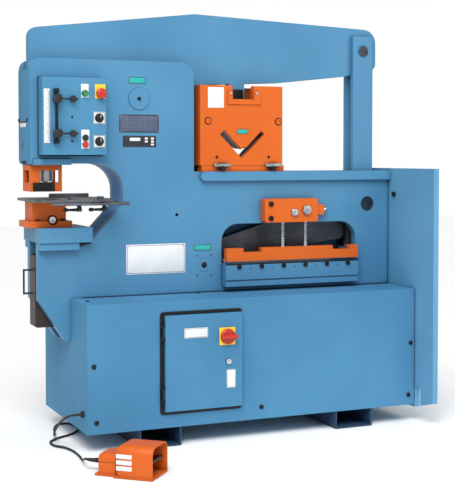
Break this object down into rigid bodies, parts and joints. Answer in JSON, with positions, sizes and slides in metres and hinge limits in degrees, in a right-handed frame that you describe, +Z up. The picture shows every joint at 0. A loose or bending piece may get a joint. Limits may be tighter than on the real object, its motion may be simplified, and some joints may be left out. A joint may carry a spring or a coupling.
{
  "type": "hydraulic ironworker",
  "caption": "Free-standing hydraulic ironworker: a rocker beam works a punch, an angle shear and a plate shear over a cabinet base with a foot switch.",
  "frame": {"origin": "on the floor, in the middle of the four floor anchor holes, under the middle of the cabinet", "axes": "+X to the right end plate, +Y to the back, +Z up; the control panel faces -Y"},
  "size_m": [1.707, 1.1002, 1.78],
  "materials": {
    "blue": "semi-gloss machine enamel",
    "orange": "semi-gloss safety enamel",
    "steel": "ground",
    "dark": "black oxide",
    "black": "moulded",
    "plates": "satin, bare",
    "yellow": "satin",
    "green": "moulded",
    "red": "moulded",
    "rubber": "matte"
  },
  "bodies": {
    "frame": {"front_side_plate": "blue", "rear_side_plate": "blue", "frame_internals": "blue", "housing_top": "blue", "cabinet_panels": "blue", "foot_bars": "blue", "foot_soles": "blue", "end_plate": "blue", "pivot_pins": "blue", "shear_bed": "blue", "ram_guide": "blue", "die_bolster": "blue", "panel_case": "blue", "holddown_bracket": "orange", "angle_frame": "orange", "stripper": "orange", "die_holder": "orange", "pedal_body": "orange", "pedal_hood": "orange", "lower_blade": "steel", "angle_fixed_blade": "steel", "punch_die": "steel", "table_assembly": "steel", "stripper_shoe": "dark", "power_unit": "dark", "electrical_box": "dark", "stroke_rail": "dark", "machine_bolts": "dark", "cord_glands": "black", "label_plates": "plates", "pedal_cord": "rubber"},
    "beam": {"beam_assembly": "blue"},
    "link": {"link_post": "blue"},
    "arm": {"arm_assembly": "blue", "upper_blade": "steel"},
    "cylinder": {"cylinder_barrel": "dark"},
    "rod": {"cylinder_rod": "steel"},
    "ram": {"punch_ram": "steel", "punch_tooling": "steel"},
    "angle_slide": {"angle_carrier": "steel", "angle_moving_blade": "steel"},
    "holddown": {"holddown_bar": "orange", "holddown_screws": "steel"},
    "fence": {"gauge_fence": "steel"},
    "lever_left": {"table_lever_left": "black"},
    "lever_right": {"table_lever_right": "black"},
    "stop_upper": {"stroke_stop_upper": "black"},
    "stop_lower": {"stroke_stop_lower": "black"},
    "start": {"start_button": "green"},
    "estop": {"estop_button": "red"},
    "jog_up": {"jog_up_button": "black"},
    "jog_down": {"jog_down_button": "red"},
    "selector_a": {"selector_upper": "black"},
    "selector_b": {"selector_lower": "black"},
    "door": {"cabinet_door": "blue", "door_fronts": "yellow"},
    "disconnect": {"disconnect_handle": "red"},
    "latch": {"door_latch": "black"},
    "slug": {"slug_drawer": "dark"},
    "treadle": {"pedal_treadle": "dark"}
  },
  "joints": [
    {"name": "beam_rock", "type": "hinge", "parent": "frame", "child": "beam", "pos_m": [-0.453, 0, 1.41], "axis": [0, 1, 0], "range_deg": [-5.6, 5.8]},
    {"name": "link_swing", "type": "hinge", "parent": "beam", "child": "link", "pos_m": [0.638, 0, 1.648], "axis": [0, 1, 0], "range_deg": [-6.8, 6.6]},
    {"name": "arm_swing", "type": "hinge", "parent": "frame", "child": "arm", "pos_m": [-0.161, 0, 0.708], "axis": [0, 1, 0], "range_deg": [-7.8, 8.1]},
    {"name": "cylinder_swing", "type": "hinge", "parent": "frame", "child": "cylinder", "pos_m": [0.6, 0, 0.2], "axis": [0, 1, 0], "range_deg": [-1.7, 1.75]},
    {"name": "rod_slide", "type": "slide", "parent": "cylinder", "child": "rod", "axis": [0, 0, 1], "range_m": [-0.107, 0.104]},
    {"name": "ram_slide", "type": "slide", "parent": "frame", "child": "ram", "axis": [0, 0, 1], "range_m": [-0.0385, 0.04]},
    {"name": "angle_blade_slide", "type": "slide", "parent": "frame", "child": "angle_slide", "axis": [0, 0, 1], "range_m": [-0.0495, 0.048]},
    {"name": "holddown_slide", "type": "slide", "parent": "frame", "child": "holddown", "axis": [0, 0, 1], "range_m": [-0.0075, 0.03]},
    {"name": "fence_slide", "type": "slide", "parent": "frame", "child": "fence", "axis": [0, 1, 0], "range_m": [-0.035, 0.015]},
    {"name": "lever_left_turn", "type": "hinge", "parent": "frame", "child": "lever_left", "pos_m": [-0.733, -0.162, 0.976], "axis": [0, 0, 1], "range_deg": [-40, 40]},
    {"name": "lever_right_turn", "type": "hinge", "parent": "frame", "child": "lever_right", "pos_m": [-0.628, -0.162, 0.976], "axis": [0, 0, 1], "range_deg": [-40, 40]},
    {"name": "stop_upper_slide", "type": "slide", "parent": "frame", "child": "stop_upper", "axis": [0, 0, 1], "range_m": [-0.05, 0.01]},
    {"name": "stop_lower_slide", "type": "slide", "parent": "frame", "child": "stop_lower", "axis": [0, 0, 1], "range_m": [-0.01, 0.05]},
    {"name": "start_push", "type": "slide", "parent": "frame", "child": "start", "axis": [0, 1, 0], "range_m": [0, 0.004], "stiffness_N_per_m": 800, "springref_m": -0.002},
    {"name": "estop_push", "type": "slide", "parent": "frame", "child": "estop", "axis": [0, 1, 0], "range_m": [0, 0.004]},
    {"name": "jog_up_push", "type": "slide", "parent": "frame", "child": "jog_up", "axis": [0, 1, 0], "range_m": [0, 0.004], "stiffness_N_per_m": 800, "springref_m": -0.002},
    {"name": "jog_down_push", "type": "slide", "parent": "frame", "child": "jog_down", "axis": [0, 1, 0], "range_m": [0, 0.004], "stiffness_N_per_m": 800, "springref_m": -0.002},
    {"name": "selector_a_turn", "type": "hinge", "parent": "frame", "child": "selector_a", "pos_m": [-0.644, -0.15, 1.326], "axis": [0, 1, 0], "range_deg": [-45, 45]},
    {"name": "selector_b_turn", "type": "hinge", "parent": "frame", "child": "selector_b", "pos_m": [-0.644, -0.15, 1.231], "axis": [0, 1, 0], "range_deg": [-45, 45]},
    {"name": "door_swing", "type": "hinge", "parent": "frame", "child": "door", "pos_m": [-0.437, -0.3285, 0.338], "axis": [0, 0, -1], "range_deg": [0, 110]},
    {"name": "disconnect_turn", "type": "hinge", "parent": "door", "child": "disconnect", "pos_m": [-0.161, -0.3405, 0.436], "axis": [0, 1, 0], "range_deg": [0, 90]},
    {"name": "latch_turn", "type": "hinge", "parent": "door", "child": "latch", "pos_m": [-0.155, -0.3405, 0.332], "axis": [0, 1, 0], "range_deg": [0, 90]},
    {"name": "slug_slide", "type": "slide", "parent": "frame", "child": "slug", "axis": [-1, 0, 0], "range_m": [0, 0.24]},
    {"name": "treadle_press", "type": "hinge", "parent": "frame", "child": "treadle", "pos_m": [-0.69543, -0.63791, 0.04294], "axis": [0.6691, 0.7431, 0], "range_deg": [0, 9], "stiffness_Nm_per_rad": 30, "springref_deg": -2.86}
  ],
  "couplings": [
    {"joint": "link_swing", "follows": "beam_rock", "ratio": -1.143},
    {"joint": "arm_swing", "follows": "beam_rock", "ratio": 1.3655},
    {"joint": "cylinder_swing", "follows": "beam_rock", "ratio": 0.28},
    {"joint": "rod_slide", "follows": "beam_rock", "m_per_rad": -1.038},
    {"joint": "ram_slide", "follows": "beam_rock", "m_per_rad": 0.377},
    {"joint": "angle_blade_slide", "follows": "beam_rock", "m_per_rad": -0.473}
  ]
}
